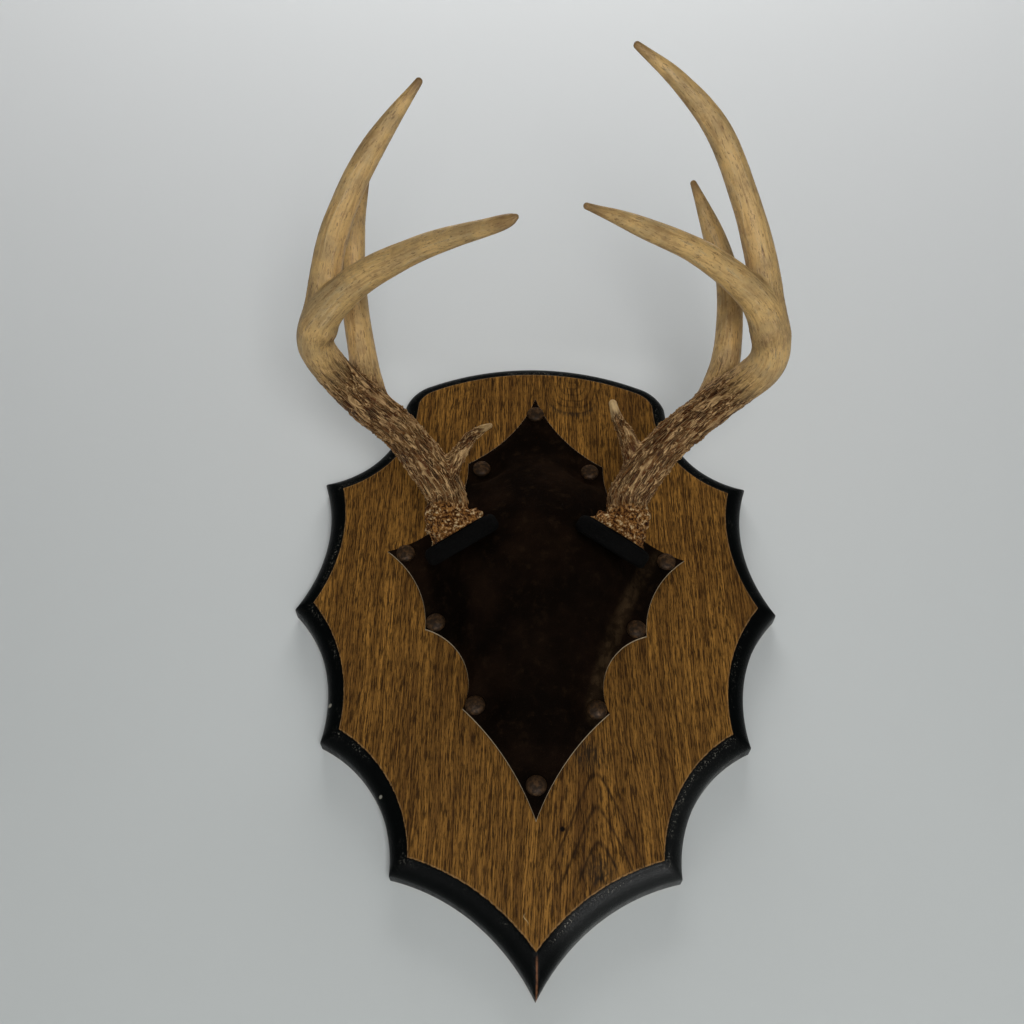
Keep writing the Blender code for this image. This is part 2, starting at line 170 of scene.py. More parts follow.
class Finish:
    """A Principled material put together node by node in a few words."""

    def __init__(self, name):
        self.made = bpy.data.materials.new(name)
        self.made.use_nodes = True
        self.nodes = self.made.node_tree.nodes
        self.links = self.made.node_tree.links
        self.shader = self.nodes["Principled BSDF"]

    def set(self, socket, value):
        """Link a node's output to a socket, or give the socket a plain value."""
        if isinstance(value, bpy.types.NodeSocket):
            self.links.new(value, socket)
        else:
            socket.default_value = value

    def coat(self, **inputs):
        """Set the shader's own sockets, with spaces for underscores."""
        for name, value in inputs.items():
            self.set(self.shader.inputs[name.replace("_", " ")], value)

    def place(self, scale=(1, 1, 1), of=None):
        """Object coordinates, a vector fact of the mesh or another vector, scaled."""
        if of is None:
            of = self.nodes.new("ShaderNodeTexCoord").outputs["Object"]
        elif isinstance(of, str):
            named = self.nodes.new("ShaderNodeAttribute")
            named.attribute_name = of
            of = named.outputs["Vector"]
        mapping = self.nodes.new("ShaderNodeMapping")
        self.links.new(of, mapping.inputs["Vector"])
        mapping.inputs["Scale"].default_value = scale
        return mapping.outputs["Vector"]

    def fact(self, name):
        """A number kept on the mesh."""
        source = self.nodes.new("ShaderNodeAttribute")
        source.attribute_name = name
        return source.outputs["Fac"]

    def noise(self, where, scale, detail=2.0, rough=0.5, warp=0.0):
        """Cloudy values about one half."""
        node = self.nodes.new("ShaderNodeTexNoise")
        self.links.new(where, node.inputs["Vector"])
        node.inputs["Scale"].default_value = scale
        node.inputs["Detail"].default_value = detail
        node.inputs["Roughness"].default_value = rough
        node.inputs["Distortion"].default_value = warp
        return node.outputs["Fac"]

    def cells(self, where, scale):
        """Distance from the nearest of many scattered points."""
        node = self.nodes.new("ShaderNodeTexVoronoi")
        self.links.new(where, node.inputs["Vector"])
        node.inputs["Scale"].default_value = scale
        return node.outputs["Distance"]

    def spot(self, x, z, size, soft=0.5):
        """One about the upright line of sight at (x, z), falling to nothing at its size."""
        away = self.nodes.new("ShaderNodeVectorMath")
        away.operation = "DISTANCE"
        self.links.new(self.place((1, 0, 1)), away.inputs[0])
        away.inputs[1].default_value = (x, 0, z)
        return self.ramp(away.outputs["Value"], size * (1 - soft), size, 1, 0)

    def math(self, operation, *values):
        """One arithmetic step on numbers or outputs."""
        node = self.nodes.new("ShaderNodeMath")
        node.operation = operation
        for socket, value in zip(node.inputs, values):
            self.set(socket, value)
        return node.outputs[0]

    def ramp(self, value, low, high, start=0.0, end=1.0):
        """Smoothly from start to end as the value goes from low to high."""
        node = self.nodes.new("ShaderNodeMapRange")
        node.interpolation_type = "SMOOTHSTEP"
        self.set(node.inputs["Value"], value)
        for name, number in (("From Min", low), ("From Max", high), ("To Min", start), ("To Max", end)):
            self.set(node.inputs[name], number)
        return node.outputs["Result"]

    def mix(self, share, below, above, blend="MIX"):
        """Blend two colours by a share."""
        node = self.nodes.new("ShaderNodeMix")
        node.data_type = "RGBA"
        node.blend_type = blend
        self.set(node.inputs["Factor"], share)
        for socket, colour in ((node.inputs["A"], below), (node.inputs["B"], above)):
            self.set(socket, colour if isinstance(colour, bpy.types.NodeSocket) else (*colour, 1.0))
        return node.outputs["Result"]

    def layers(self, colour, rows):
        """Colours laid over one another, each up to its share as its pattern goes low to high."""
        for pattern, low, high, share, above in rows:
            colour = self.mix(self.ramp(pattern, low, high, 0, share), colour, above)
        return colour

    def relief(self, height, distance):
        """Raised and sunk detail from a height of 0 to 1, where 1 stands the distance high."""
        node = self.nodes.new("ShaderNodeBump")
        node.inputs["Distance"].default_value = distance
        self.links.new(height, node.inputs["Height"])
        return node.outputs["Normal"]


def paint(red, green, blue):
    """A colour given as it shows on a screen, 0 to 255, turned into the shader's own terms."""
    shares = (value / 255 for value in (red, green, blue))
    return tuple(s / 12.92 if s <= 0.04045 else ((s + 0.055) / 1.055) ** 2.4 for s in shares)


# The board's grain: fine dark pores run up the face and lean out round a pointed cathedral
# arch low on the right; flat-bottomed cups hang at the crown.
ARCH = (0.0358, -0.1868)
ARCH_STEEPNESS = 2.5
ARCH_NOSE = 0.004
ARCH_SPACING = 0.0205
SPREAD_BELOW = -0.10
SPREAD_SCALE = 0.12
CUPS = (0.0275, 0.1250)
CUPS_DEPTH = 0.0356
CUPS_NARROWING = 1.7
CUPS_SQUARENESS = 2.8
CUPS_SPACING = 0.0058
DARK_SPOTS = ((0.0313, -0.1756, 0.015), (0.0361, -0.2445, 0.014))
CRACKS = ((-0.0328, 0.107, 0.111), (0.0314, 0.093, 0.098))
CRACK_WIDTH = 0.0006
PIN_KNOT = (0.0153, -0.2205, 0.0020)
GLUE = (-0.0056, -0.2705)
CHIPS = ((-0.1280, -0.1442, 0.0016), (-0.0917, -0.2018, 0.0013))
oak = Finish("stained_oak")
face = oak.nodes.new("ShaderNodeSeparateXYZ")
oak.links.new(oak.place(), face.inputs[0])
face_x, face_z = face.outputs["X"], face.outputs["Z"]


def near(value, centre, reach):
    """One at the centre, falling smoothly to nothing at the reach."""
    return oak.ramp(oak.math("ABSOLUTE", oak.math("SUBTRACT", value, centre)), 0, reach, 1, 0)


def rings_of(rise, spacing, width):
    """Thin growth lines each time the rise goes up by the spacing, on both sides of none.

    The turns counted from a high start stay above 0, where their fraction runs evenly on.
    """
    high_start = 100.5
    turns = oak.math("FRACT", oak.math("MULTIPLY_ADD", rise, 1 / spacing, high_start))
    return oak.ramp(oak.math("ABSOLUTE", oak.math("SUBTRACT", turns, 0.5)), 0, width, 1, 0)


# Below the middle the lines lean out round the arch: the way across is cut by a share of
# 1 - 1 / sqrt(1 + (below / scale)^2), which fades away from the arch's own line
wobble = oak.math("SUBTRACT", oak.noise(oak.place((38, 0, 11)), 1.0, 3, 0.5), 0.5)
below = oak.math("MAXIMUM", oak.math("SUBTRACT", SPREAD_BELOW, face_z), 0.0)
below = oak.math("MULTIPLY", below, below)
spread = oak.math("SQRT", oak.math("MULTIPLY_ADD", below, 1 / SPREAD_SCALE ** 2, 1.0))
aside = oak.math("SUBTRACT", face_x, ARCH[0])
lean = oak.math("SUBTRACT", 1.0, oak.math("DIVIDE", 1.0, spread))
lean = oak.math("MULTIPLY", near(aside, 0.0, 0.075), lean)
across = oak.math("MULTIPLY", aside, oak.math("SUBTRACT", 1.0, lean))
across = oak.math("MULTIPLY_ADD", wobble, 0.004, across)
grain = oak.nodes.new("ShaderNodeCombineXYZ")
oak.links.new(across, grain.inputs["X"])
oak.links.new(face_z, grain.inputs["Z"])
grain = grain.outputs[0]

# The arch's rise is z + s sqrt(aside^2 + nose^2), and the cups lie at even distances from
# their centre, (|n x|^q + |z|^q)^(1 / q)
nosed = oak.math("SQRT", oak.math("MULTIPLY_ADD", aside, aside, ARCH_NOSE ** 2))
arch_rise = oak.math("MULTIPLY_ADD", nosed, ARCH_STEEPNESS, oak.math("SUBTRACT", face_z, ARCH[1] + 0.010))
arch_rise = oak.math("MULTIPLY_ADD", wobble, 0.012, arch_rise)
arch = rings_of(arch_rise, ARCH_SPACING, 0.17)
for fade in (
    oak.ramp(oak.math("ABSOLUTE", aside), 0.034, 0.020),
    oak.ramp(face_z, -0.178, -0.190),
    oak.ramp(face_z, -0.268, -0.245),
    oak.ramp(arch_rise, 0.006, 0.003),
):
    arch = oak.math("MULTIPLY", arch, fade)
sideways = oak.math("MULTIPLY", oak.math("SUBTRACT", face_x, CUPS[0]), CUPS_NARROWING)
sideways = oak.math("POWER", oak.math("ABSOLUTE", sideways), CUPS_SQUARENESS)
downward = oak.math("ABSOLUTE", oak.math("SUBTRACT", face_z, CUPS[1]))
downward = oak.math("POWER", downward, CUPS_SQUARENESS)
cup_away = oak.math("POWER", oak.math("ADD", sideways, downward), 1 / CUPS_SQUARENESS)
cup_away = oak.math("MULTIPLY_ADD", wobble, 0.007, cup_away)
cups = rings_of(oak.math("SUBTRACT", cup_away, CUPS_DEPTH), CUPS_SPACING, 0.24)
cups = oak.math("MULTIPLY", cups, 0.6)
cups = oak.math("MULTIPLY", cups, oak.ramp(cup_away, CUPS_DEPTH + 0.0022, CUPS_DEPTH + 0.0012))
cup_floor = oak.math("MULTIPLY", near(cup_away, CUPS_DEPTH + 0.001, 0.0042), oak.ramp(face_z, 0.100, 0.094))

broad = oak.noise(oak.place((50, 0, 4), grain), 1.0, 4, 0.6)
bands = oak.noise(oak.place((330, 0, 7), grain), 1.0, 3, 0.6)
fibres = oak.noise(oak.place((900, 0, 26), grain), 1.0, 3, 0.62)
crowd = oak.noise(oak.place((190, 0, 12), grain), 1.0, 3, 0.6)
pores = oak.noise(oak.place((1250, 0, 88), grain), 1.0, 3, 0.6)
pits = oak.noise(oak.place((1800, 0, 210), grain), 1.0, 2, 0.6)
pores = oak.math("MULTIPLY_ADD", oak.math("SUBTRACT", crowd, 0.5), 0.18, pores)
light_oak, mid_oak, dark_oak = paint(158, 112, 50), paint(117, 81, 35), paint(76, 48, 21)
pore_brown, grey_stain = paint(40, 25, 13), paint(38, 33, 26)
wood = oak.layers(light_oak, (
    (bands, 0.40, 0.60, 1, mid_oak),
    (broad, 0.42, 0.70, 0.5, dark_oak),
    (fibres, 0.49, 0.60, 0.62, dark_oak),
    (pits, 0.52, 0.60, 0.5, pore_brown),
    (pores, 0.515, 0.60, 0.78, pore_brown),
))
figure = oak.math("MAXIMUM", arch, cups)
wood = oak.mix(oak.math("MULTIPLY", figure, oak.ramp(pores, 0.36, 0.52, 0.4, 0.85)), wood, paint(42, 27, 14))

# Patches where the stain took darker, in specks along the pores
dark_places = cup_floor
for x, z, size in DARK_SPOTS:
    dark_places = oak.math("MAXIMUM", dark_places, oak.spot(x, z, size, 0.8))
specks = oak.math("MAXIMUM", oak.ramp(pores, 0.44, 0.52), oak.ramp(pits, 0.46, 0.54))
dark_places = oak.math("MULTIPLY", dark_places, specks)
wood = oak.mix(oak.math("MULTIPLY", dark_places, 0.65), wood, grey_stain)

# Two hairline cracks by the crown, a pin knot below the leather and a squiggle of dried glue
cracks = oak.math("MAXIMUM", *(
    oak.math("MULTIPLY", near(face_x, x, CRACK_WIDTH), oak.ramp(face_z, low, high))
    for x, low, high in CRACKS
))
wood = oak.mix(oak.math("MULTIPLY", cracks, oak.ramp(bands, 0.3, 0.5, 0.4, 1)), wood, paint(22, 14, 9))
wood = oak.mix(oak.spot(*PIN_KNOT), wood, paint(18, 11, 8))
curl = oak.math("MULTIPLY", oak.math("SINE", oak.math("MULTIPLY", face_z, 800.0)), 0.0012)
curl = near(oak.math("SUBTRACT", face_x, curl), GLUE[0], 0.0006)
wood = oak.mix(oak.math("MULTIPLY", curl, near(face_z, GLUE[1], 0.0042)), wood, paint(190, 160, 112))

# Black paint on the moulding: rubbed through along the face's arris and the outer rim, in
# specks over the rounding, at two chips and along the mitre at the bottom point, and a little
# glossier low on the right, where more pale specks are painted as a painted sheen
inset = oak.fact("inset")
ragged = oak.noise(oak.place(), 420, 3, 0.65)
edge = oak.math("MULTIPLY_ADD", oak.math("SUBTRACT", ragged, 0.5), 0.0011, inset)
arris = oak.ramp(ragged, 0.38, 0.6, 0.15, 0.8)
arris = oak.math("MULTIPLY", near(edge, ROUND_WIDTH + 0.0002, 0.0006), arris)
wood = oak.mix(arris, wood, paint(170, 132, 86))
scuffs = oak.noise(oak.place(), 900, 4, 0.7)
worn_and_sheen_area = oak.noise(oak.place(), 40, 3, 0.6)
rims = oak.math("MULTIPLY", near(inset, 0.0, 0.0012), near(face.outputs["Y"], -0.0100, 0.0022))
rims = oak.math("MAXIMUM", rims, near(inset, ROUND_WIDTH * 0.75, 0.0022))
lower_right = oak.math("MULTIPLY", oak.ramp(face_x, 0.0, 0.03), oak.ramp(face_z, -0.15, -0.22))
# Low on the right the pale specks are made more common: painted sheen on the black paint, laid over its real
# wear
worn_and_sheen_area = oak.math("MULTIPLY_ADD", lower_right, 0.12, worn_and_sheen_area)
worn_paint_and_sheen = oak.math("MULTIPLY", oak.ramp(scuffs, 0.56, 0.66), oak.ramp(worn_and_sheen_area, 0.46, 0.66))
worn_paint_and_sheen = oak.math("MULTIPLY", worn_paint_and_sheen, oak.math("MULTIPLY_ADD", rims, 0.95, 0.05))
for x, z, size in CHIPS:
    worn_paint_and_sheen = oak.math("MAXIMUM", worn_paint_and_sheen, oak.spot(x, z, size))
mitre = oak.math("MULTIPLY", near(face_x, 0.0004, 0.0009), oak.ramp(face_z, -0.288, -0.293))
black = oak.mix(worn_paint_and_sheen, paint(4, 6, 6), paint(150, 146, 134))
black = oak.mix(oak.math("MULTIPLY", mitre, oak.ramp(ragged, 0.3, 0.55)), black, paint(128, 84, 56))
painted = oak.ramp(edge, ROUND_WIDTH - 0.0002, ROUND_WIDTH + 0.0001, 1, 0)
gloss = oak.ramp(lower_right, 0, 1, -0.05, 0.2)
bare_back = oak.ramp(oak.fact("on_back"), 0.4, 0.6)
wood = oak.mix(oak.math("MULTIPLY", bare_back, 0.6), wood, paint(176, 140, 94))
colour = oak.mix(oak.math("SUBTRACT", painted, bare_back), wood, black)
oak.coat(
    Base_Color=colour,
    Roughness=oak.math("MULTIPLY_ADD", painted, -0.22, oak.ramp(bands, 0.3, 0.7, 0.62, 0.52)),
    Specular_IOR_Level=oak.math("MULTIPLY_ADD", painted, gloss, 0.12),
    Normal=oak.relief(oak.mix(painted, oak.ramp(pores, 0.5, 0.62, 1, 0), scuffs), 0.0003),
)


def plaque_rings():
    """Rings from the middle of the back, round the edge and its moulding, to mid face.

    Up the quarter round, a ring at angle t is inset by w (1 - cos t) and its depth falls by
    d (1 - sin t); over the face, rings shrink evenly toward the middle.
    """
    corners, scoops = shield_corners(BOARD_WIDTH, BOARD_HEIGHT, BOARD_TOP, BOARD_CURVES)
    turn = np.linspace(0, math.pi / 2, 9)
    round_depths = BOARD_THICKNESS - QUIRK - (ROUND_DROP - QUIRK) * (1 - np.sin(turn))
    insets = [0.012, 0.0006, 0.0, 0.0, *(ROUND_WIDTH * (1 - np.cos(turn)))]
    depths = [0.0, 0.0, 0.0006, 0.004, *round_depths]
    insets += [ROUND_WIDTH, ROUND_WIDTH + ARRIS * 0.3, ROUND_WIDTH + ARRIS, ROUND_WIDTH + 0.0015]
    depths += [BOARD_THICKNESS - ARRIS, BOARD_THICKNESS - ARRIS * 0.3, BOARD_THICKNESS, BOARD_THICKNESS]
    rings, distances, backs = [], [], [1.0, 1.0, 0.3]
    for depth_in, depth in zip(insets, depths):
        line = scalloped_line(*moved_in(corners, scoops, depth_in), ARC_STEPS)
        rings.append(np.insert(line, 1, -depth, axis=1))
        distances.append(np.full(len(line), depth_in))
    face = rings[-1]
    middle = np.array((0.0, face[0, 1], -0.05))
    for share in np.linspace(0.93, 0.07, 14):
        rings.append(middle + (face - middle) * share)
        distances.append(np.full(len(face), 0.02))
    backs = np.array(backs + [0.0] * (len(rings) - len(backs)))
    return np.array(rings), np.array(distances), np.repeat(backs, len(face))


rings, distances, backs = plaque_rings()
plaque = skin("oak_plaque", rings, oak.made, [("inset", distances), ("on_back", backs)])
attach(plaque, "root")
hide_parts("plaque")


# Leather cover: one piece of thin black-brown hide over the skull cap, cut by hand to five
# points on each side and pulled flat at the tacks. It swells round both pedicles.
HIDE_THICKNESS = 0.002
HIDE_WIDTH = 0.200
HIDE_HEIGHT = 0.318
HIDE_SKEW = 0.022
HIDE_BACK_Y = BOARD_FACE_Y - 0.0003
HIDE_FACE_Y = HIDE_BACK_Y - HIDE_THICKNESS
HIDE_TOP = BOARD_TOP - ROUND_WIDTH - 0.0255
HIDE_CURVES = (
    (0.480, 0.195, 0.089),
    (1.000, 0.434, 0.170),
    (0.713, 0.616, 0.120),
    (0.452, 0.786, 0.225),
    (0.000, 1.000, 0.061),
)
CAP_LEVEL = HIDE_TOP - 0.146
CAP_HALF_WIDTH = 0.076
CAP_UP = 0.100
CAP_DOWN = 0.145
CAP_HEIGHT = 0.040
SWELL = 0.012
SWELL_SPREAD = 0.015
PULLED_FLAT = 0.0068
PULL_REACH = 0.016
PAD_SPACING = 0.096
PAD_BELOW_TOP = 0.150
PAD_HALF_WIDTH = 0.026
RISE = math.radians(34)
SPLAY = math.radians(31)
FOLD_OUT = 0.0755
FOLD_SLANT = 0.4435
FOLD_BEND = 1.789
FOLD_TOP = -0.0444
FOLD_LOW = -0.1179
FOLD_HEIGHT = 0.0016
FOLD_WIDTH = 0.0045


def fold_line(z):
    """A soft fold on the right lies at x = out + slant (z - top) + bend (z - top)(z - low)."""
    return FOLD_OUT + (z - FOLD_TOP) * (FOLD_SLANT + FOLD_BEND * (z - FOLD_LOW))


def hide_height(x, z, share):
    """How far the hide stands off the board at (x, z), share of the way out from the middle.

    Over the cap it is H (1 - f^2)^1.35 (1 - |x / w|^2.3)^1.5, where f is the fall above or
    below the widest level. Two bell curves swell it at the pedicles and a low ridge makes
    the fold. At the edge and at each tack it is pulled flat, by smooth steps over the distance.
    """
    fall = np.where(z < CAP_LEVEL, (CAP_LEVEL - z) / CAP_DOWN, (z - CAP_LEVEL) / CAP_UP)
    fall = np.clip(fall, 0, 1)
    half_width = CAP_HALF_WIDTH * np.where(z < CAP_LEVEL, (1 - fall) ** 0.55, np.sqrt(1 - fall ** 2))
    out = np.clip(np.abs(x) / np.maximum(half_width, 1e-4), 0, 1)
    cap = CAP_HEIGHT * (1 - fall ** 2) ** 1.35 * (1 - out ** 2.3) ** 1.5
    pedicle_z = HIDE_TOP - PAD_BELOW_TOP - PAD_HALF_WIDTH * math.sin(RISE)
    away = np.hypot(np.abs(x) - PAD_SPACING / 2, z - pedicle_z) / SWELL_SPREAD
    swell = SWELL * np.exp(-away ** 2 / 2) * (1 - out ** 4)
    fold = np.exp(-((x - fold_line(z)) / FOLD_WIDTH) ** 2) * np.clip((z + 0.155) / 0.03, 0, 1)
    swell = swell + FOLD_HEIGHT * fold * np.clip((-0.030 - z) / 0.03, 0, 1)
    lift = np.clip((1 - share) / 0.08, 0, 1)
    for low, high in (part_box(f"tack_{i:02d}") for i in range(1, 11)):
        away = np.hypot(x - (low.x + high.x) / 2, z - (low.z + high.z) / 2)
        lift = lift * np.clip((away - PULLED_FLAT) / PULL_REACH, 0, 1)
    return (cap + swell) * lift * lift * (3 - 2 * lift)


leather = Finish("dark_leather")
worn = leather.noise(leather.place(), 24, 5, 0.62)
mottle = leather.noise(leather.place(), 160, 4, 0.6)
grain = leather.cells(leather.place(), 1100)
cut_edge = leather.ramp(leather.fact("cut_edge"), 0.3, 0.7)
hide_colour = leather.mix(leather.ramp(worn, 0.38, 0.70), paint(12, 7, 4), paint(27, 17, 10))
hide_colour = leather.mix(leather.ramp(mottle, 0.52, 0.75, 0, 0.35), hide_colour, paint(44, 32, 21))
hide_face = leather.nodes.new("ShaderNodeSeparateXYZ")
leather.links.new(leather.place(), hide_face.inputs[0])
hide_x, hide_z = hide_face.outputs["X"], hide_face.outputs["Z"]
# A lighter band along the fold on the right, broken up by noise, is painted sheen where the fold catches the
# light
from_top = leather.math("SUBTRACT", hide_z, FOLD_TOP)
bent = leather.math("MULTIPLY_ADD", leather.math("SUBTRACT", hide_z, FOLD_LOW), FOLD_BEND, FOLD_SLANT)
line_x = leather.math("MULTIPLY_ADD", from_top, bent, FOLD_OUT)
painted_fold_sheen = leather.math("ABSOLUTE", leather.math("SUBTRACT", hide_x, line_x))
painted_fold_sheen = leather.math("MULTIPLY", leather.ramp(painted_fold_sheen, 0, 0.0075, 1, 0), leather.ramp(hide_z, -0.165, -0.14))
painted_fold_sheen = leather.math("MULTIPLY", painted_fold_sheen, leather.ramp(mottle, 0.40, 0.60, 0.3, 1))
painted_fold_sheen = leather.math("MULTIPLY", painted_fold_sheen, leather.ramp(hide_z, -0.02, -0.05))
painted_fold_sheen = leather.math("MULTIPLY", painted_fold_sheen, leather.ramp(worn, 0.30, 0.60, 0.3, 0.8))
hide_colour = leather.mix(painted_fold_sheen, hide_colour, paint(66, 51, 34))
leather.coat(
    Base_Color=leather.mix(cut_edge, hide_colour, paint(176, 158, 130)),
    Roughness=leather.ramp(worn, 0.3, 0.7, 0.88, 0.75),
    Specular_IOR_Level=0.02,
    Normal=leather.relief(grain, 0.00025),
)


def hide_rings():
    """Rings from the middle of the flat back, over the cut edge, up the swelling front."""
    corners, scoops = shield_corners(HIDE_WIDTH, HIDE_HEIGHT, HIDE_TOP, HIDE_CURVES)
    line = scalloped_line(corners, scoops, ARC_STEPS)
    line[:, 1] -= HIDE_SKEW * line[:, 0]
    middle = np.array((0.0, CAP_LEVEL))
    shares = np.array([0.5, 0.995, 1.0, 1.0, 0.995, *np.linspace(0.98, 0.02, 44)])
    stand = np.array([0, 0, 0.0005, HIDE_THICKNESS - 0.0005, HIDE_THICKNESS] + [HIDE_THICKNESS] * 44)
    flat = middle + (line - middle) * shares[:, None, None]
    x, z = flat[..., 0], flat[..., 1]
    height = hide_height(x, z, shares[:, None])
    height[:5] = 0
    rim = np.where((np.arange(len(shares)) > 1) & (np.arange(len(shares)) < 4), 1.0, 0.0)
    rings = np.stack((x, HIDE_BACK_Y - stand[:, None] - height, z), axis=-1)
    return rings, np.repeat(rim, line.shape[0])


rings, rim = hide_rings()
hide = skin("leather_cover_hide", rings, leather.made, [("cut_edge", rim)])
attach(hide, "root")
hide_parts("leather_cover")


# Tacks: ten domed upholstery tacks with hammered, browned copper heads, driven through the
# leather into the board near each of its points.
HEAD_RADIUS = 0.00625
HEAD_HEIGHT = 0.0038
HEAD_RIM = 0.0008
DENT_SIZE = 0.0021
DENT_DEPTH = 0.0004


def lattice_noise(points, seed):
    """Smooth random values in -1 to 1: one for each unit lattice corner, blended between."""
    cell = np.floor(points).astype(np.int64)
    share = points - cell
    share = share * share * (3 - 2 * share)
    total = np.zeros(len(points))
    for corner in np.ndindex(2, 2, 2):
        key = (cell + corner) @ np.array((374761393, 668265263, 1440662683)) + seed * 9973
        key = ((key ^ (key >> 13)) * 1274126177) & 0xFFFFFFFF
        value = ((key ^ (key >> 16)) & 0xFFFF) / 32767.5 - 1
        total += value * np.prod(np.where(corner, share, 1 - share), axis=1)
    return total


copper = Finish("browned_copper")
tarnish = copper.noise(copper.place(), 420, 3, 0.6)
copper.coat(
    Base_Color=copper.mix(copper.ramp(tarnish, 0.4, 0.7), paint(44, 32, 21), paint(82, 59, 37)),
    Metallic=0.2,
    Roughness=copper.ramp(tarnish, 0.3, 0.7, 0.62, 0.45),
    Specular_IOR_Level=0.2,
)


def tack_heads():
    """Each head: rings at angle t with radius r cos t and height rim + (h - rim) sin t."""
    boxes = [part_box(f"tack_{i:02d}") for i in range(1, 11)]
    turn = np.linspace(0, math.pi / 2, 14)[:-1]
    radius = np.array([0.4, 1, 1, *np.cos(turn)]) * HEAD_RADIUS
    height = np.array([0, 0, 0.5 * HEAD_RIM, *(HEAD_RIM + (HEAD_HEIGHT - HEAD_RIM) * np.sin(turn))])
    around = np.linspace(0, 2 * math.pi, 40, endpoint=False)
    meshes = []
    for i, (low, high) in enumerate(boxes):
        x = (low.x + high.x) / 2 + radius[:, None] * np.cos(around)
        z = (low.z + high.z) / 2 + radius[:, None] * np.sin(around)
        y = HIDE_FACE_Y - 0.0003 - height[:, None] + 0 * around
        points = np.stack((x, y, z), axis=-1)
        dents = lattice_noise(points.reshape(-1, 3) / DENT_SIZE, i + 1).reshape(x.shape)
        points[3:, :, 1] += DENT_DEPTH * np.abs(dents[3:]) * np.sin(turn)[:, None]
        meshes.append(points)
    return meshes


for number, points in enumerate(tack_heads(), start=1):
    head = skin(f"tack_head_{number:02d}", points, copper.made)
    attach(head, "root")
    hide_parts(f"tack_{number:02d}")


# Collars: a pad of black felt-like tape wrapped round each pedicle, between the leather and
# the burr, pressed to an oval with a rounded rim.
PAD_OVAL = 0.78
PAD_HEIGHT = 0.0115
PAD_ROUNDING = 0.004
PAD_ABOVE_FACE = 0.0405
LUMP_SIZE = 0.009
LUMP_DEPTH = 0.0004

wrap = Finish("black_wrap_cloth")
fuzz = wrap.noise(wrap.place(), 1400, 3, 0.6)
wrap.coat(
    Base_Color=wrap.mix(wrap.ramp(fuzz, 0.4, 0.7), paint(7, 7, 7), paint(17, 16, 15)),
    Roughness=0.95,
    Specular_IOR_Level=0.06,
    Normal=wrap.relief(fuzz, 0.0004),
)


def pedicle(side):
    """Where a collar's middle is, and the directions along, across and out over its pedicle."""
    axis = np.array((
        side * math.sin(SPLAY),
        -math.cos(SPLAY) * math.sin(RISE),
        math.cos(SPLAY) * math.cos(RISE),
    ))
    front = np.array((0.0, -math.cos(RISE), -math.sin(RISE)))
    centre = np.array((
        side * PAD_SPACING / 2, BOARD_FACE_Y - PAD_ABOVE_FACE, HIDE_TOP - PAD_BELOW_TOP
    ))
    return centre, axis, np.cross(front, axis), front


def collar_rings(side, seed):
    """Oval rings up the pedicle: at rim angle t, half width narrows by r (1 - cos t)."""
    centre, axis, across, front = pedicle(side)
    turn = np.linspace(-math.pi / 2, math.pi / 2, 16)
    along = np.sin(turn) * PAD_ROUNDING + np.sign(turn) * (PAD_HEIGHT / 2 - PAD_ROUNDING)
    half = PAD_HALF_WIDTH - PAD_ROUNDING * (1 - np.cos(turn))
    along = np.array([-PAD_HEIGHT / 2, *along, PAD_HEIGHT / 2])[:, None, None]
    half = np.array([PAD_HALF_WIDTH * 0.5, *half, PAD_HALF_WIDTH * 0.5])[:, None, None]
    around = np.linspace(0, 2 * math.pi, 96, endpoint=False)[None, :, None]
    out = across * np.cos(around) + front * PAD_OVAL * np.sin(around)
    points = centre + axis * along + out * half
    lumps = lattice_noise(points.reshape(-1, 3) / LUMP_SIZE, seed).reshape(half.shape[0], -1, 1)
    return points - out * (LUMP_DEPTH + LUMP_DEPTH * lumps)


for side, name in ((-1, "left"), (1, "right")):
    collar = skin(f"{name}_collar_wrap", collar_rings(side, 20 + side), wrap.made)
    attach(collar, "root")
    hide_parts(f"{name}_pedicle_collar")


# Antlers: whitetail antlers, each one bone: a beam that sweeps out, forward and in over the
# plaque, a short brow tine and two tall tines. The burr is pearled, the lower beam gnarled
# with dark channels, and the tips are rubbed smooth and pale.
ANTLER_REACH = 0.233
BEAM_RADIUS = 0.0125
BURR_FLARE = 0.0052
BURR_REACH = 0.026
BURR_HEIGHT = 0.011
ROOT_SWELL = 1.05
VOXEL = 0.00074
BLEND = 0.0016
JOINT_GAP = 0.0003
GUTTER_DEPTH = 0.0007
WIDE_RIDGE_HEIGHT = 0.0011
FINE_RIDGE_HEIGHT = 0.0007
WAVE_HEIGHT = 0.0006
PEARL_HEIGHT = 0.0020
PEARL_FADE = 0.014
TOOTH_HEIGHT = 0.0022
TOOTH_REACH = 0.006

